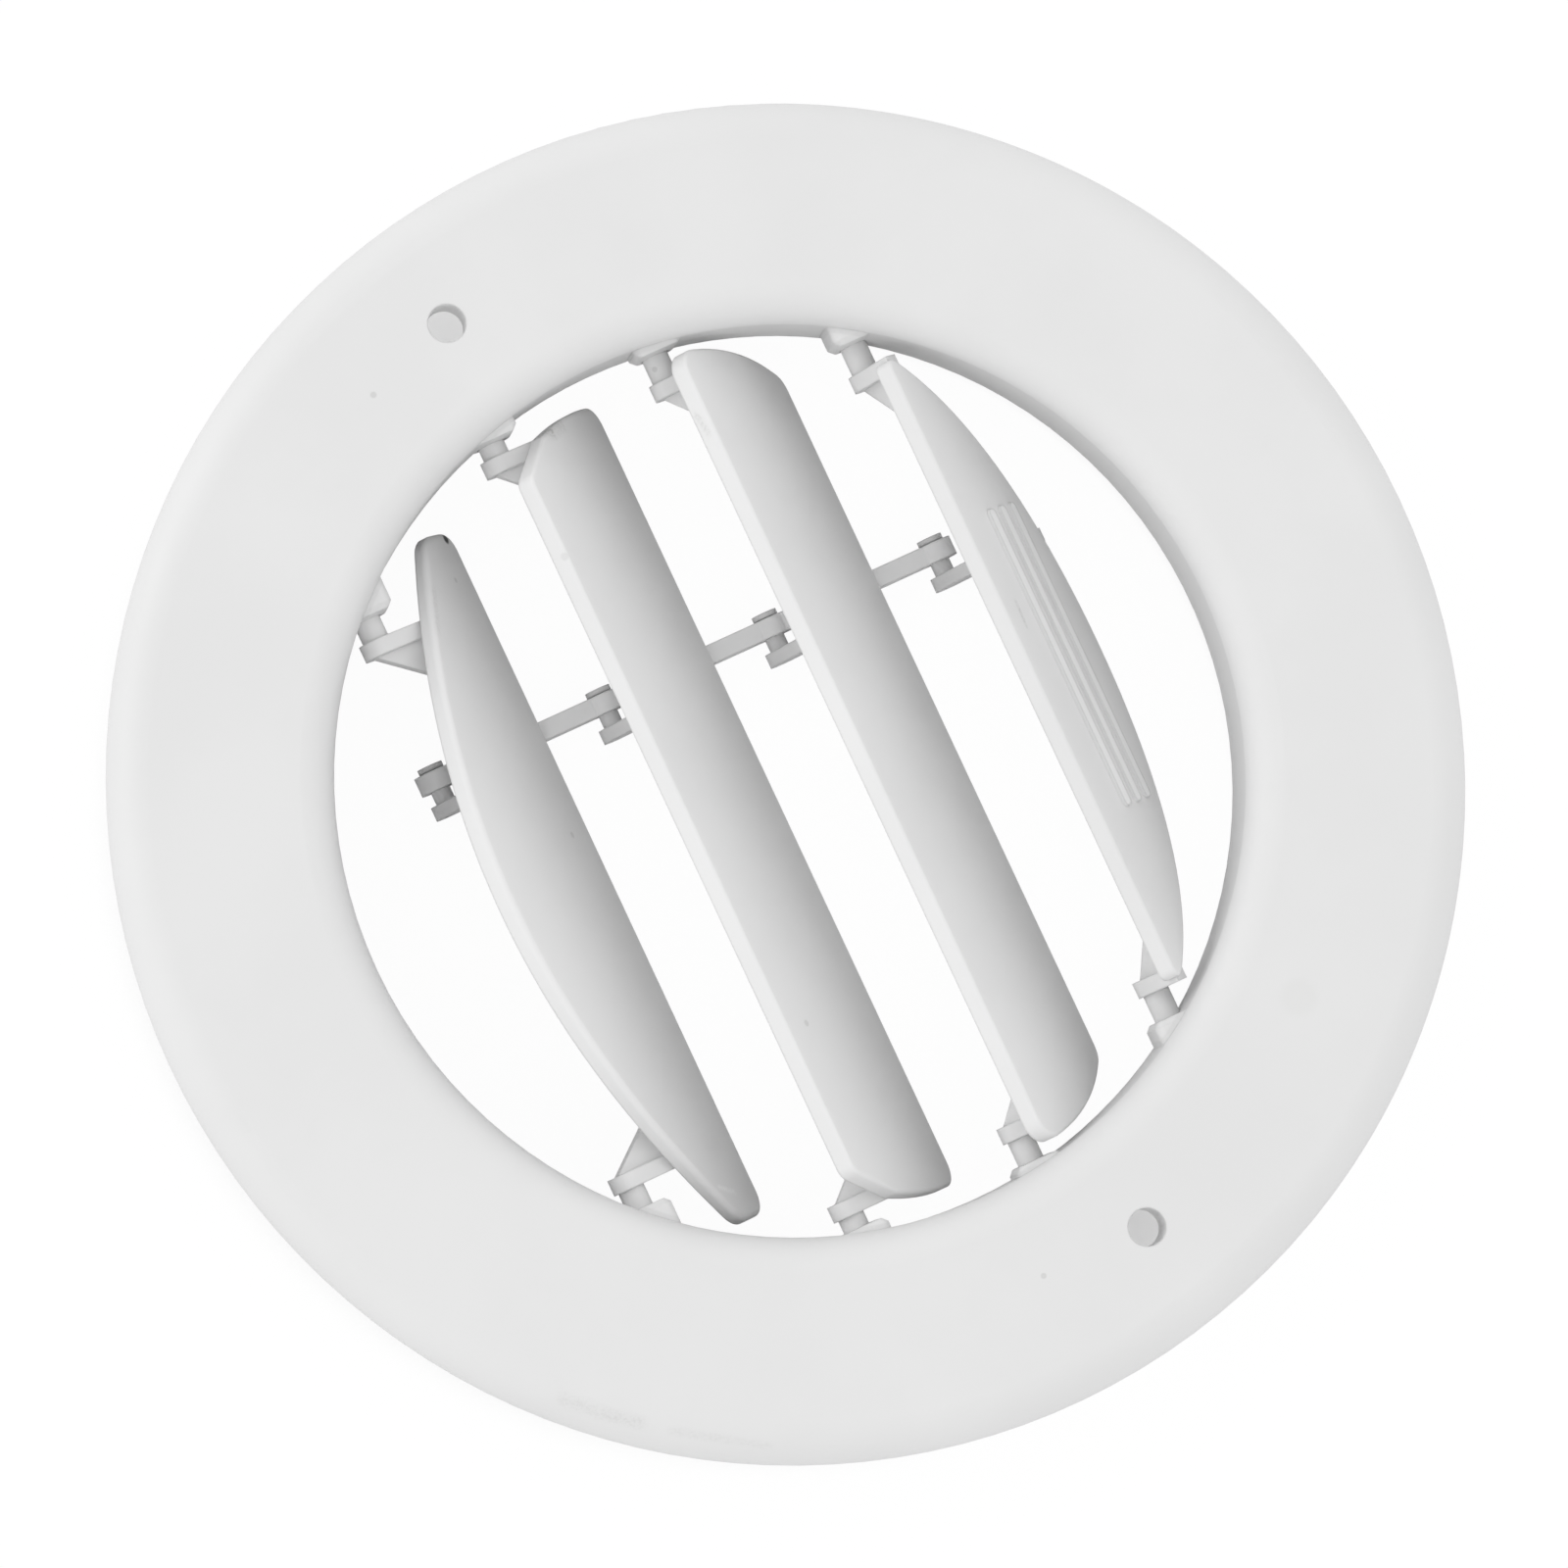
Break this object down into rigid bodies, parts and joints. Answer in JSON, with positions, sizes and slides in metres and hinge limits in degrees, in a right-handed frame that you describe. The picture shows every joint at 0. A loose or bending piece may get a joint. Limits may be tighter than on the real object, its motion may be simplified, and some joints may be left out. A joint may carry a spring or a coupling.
{
  "type": "ceiling air vent",
  "caption": "Round white ceiling air vent: a flanged trim ring with a duct collar, screw holes and a row of tilting louvre blades ganged by a tie bar.",
  "frame": {"origin": "centre of the plane where the flange seats on the ceiling", "axes": "+Z out of the front face into the room, +X across the blades towards the grip blade, +Y along the blades"},
  "size_m": [0.178, 0.178, 0.0315],
  "materials": {
    "white_plastic": "satin"
  },
  "bodies": {
    "trim_ring": {"trim_ring": "white_plastic"},
    "plain_end_blade": {"plain_end_blade": "white_plastic"},
    "left_middle_blade": {"left_middle_blade": "white_plastic"},
    "right_middle_blade": {"right_middle_blade": "white_plastic"},
    "grip_end_blade": {"grip_end_blade": "white_plastic"},
    "tie_bar": {"tie_bar": "white_plastic"}
  },
  "joints": [
    {"name": "grip_blade_tilt", "type": "hinge", "parent": "trim_ring", "child": "grip_end_blade", "pos_m": [0.0328, 0, -0.006], "axis": [0, 1, 0], "range_deg": [-47, 2]},
    {"name": "plain_end_blade_tilt", "type": "hinge", "parent": "trim_ring", "child": "plain_end_blade", "pos_m": [-0.041, 0, -0.006], "axis": [0, 1, 0], "range_deg": [-47, 2]},
    {"name": "left_middle_blade_tilt", "type": "hinge", "parent": "trim_ring", "child": "left_middle_blade", "pos_m": [-0.0164, 0, -0.006], "axis": [0, 1, 0], "range_deg": [-47, 2]},
    {"name": "right_middle_blade_tilt", "type": "hinge", "parent": "trim_ring", "child": "right_middle_blade", "pos_m": [0.0082, 0, -0.006], "axis": [0, 1, 0], "range_deg": [-47, 2]},
    {"name": "tie_bar_swing", "type": "hinge", "parent": "grip_end_blade", "child": "tie_bar", "pos_m": [0.03394, 0.0204, -0.02205], "axis": [0, 1, 0], "range_deg": [-2, 47]}
  ],
  "couplings": [
    {"joint": "plain_end_blade_tilt", "follows": "grip_blade_tilt", "ratio": 1},
    {"joint": "left_middle_blade_tilt", "follows": "grip_blade_tilt", "ratio": 1},
    {"joint": "right_middle_blade_tilt", "follows": "grip_blade_tilt", "ratio": 1},
    {"joint": "tie_bar_swing", "follows": "grip_blade_tilt", "ratio": -1}
  ]
}
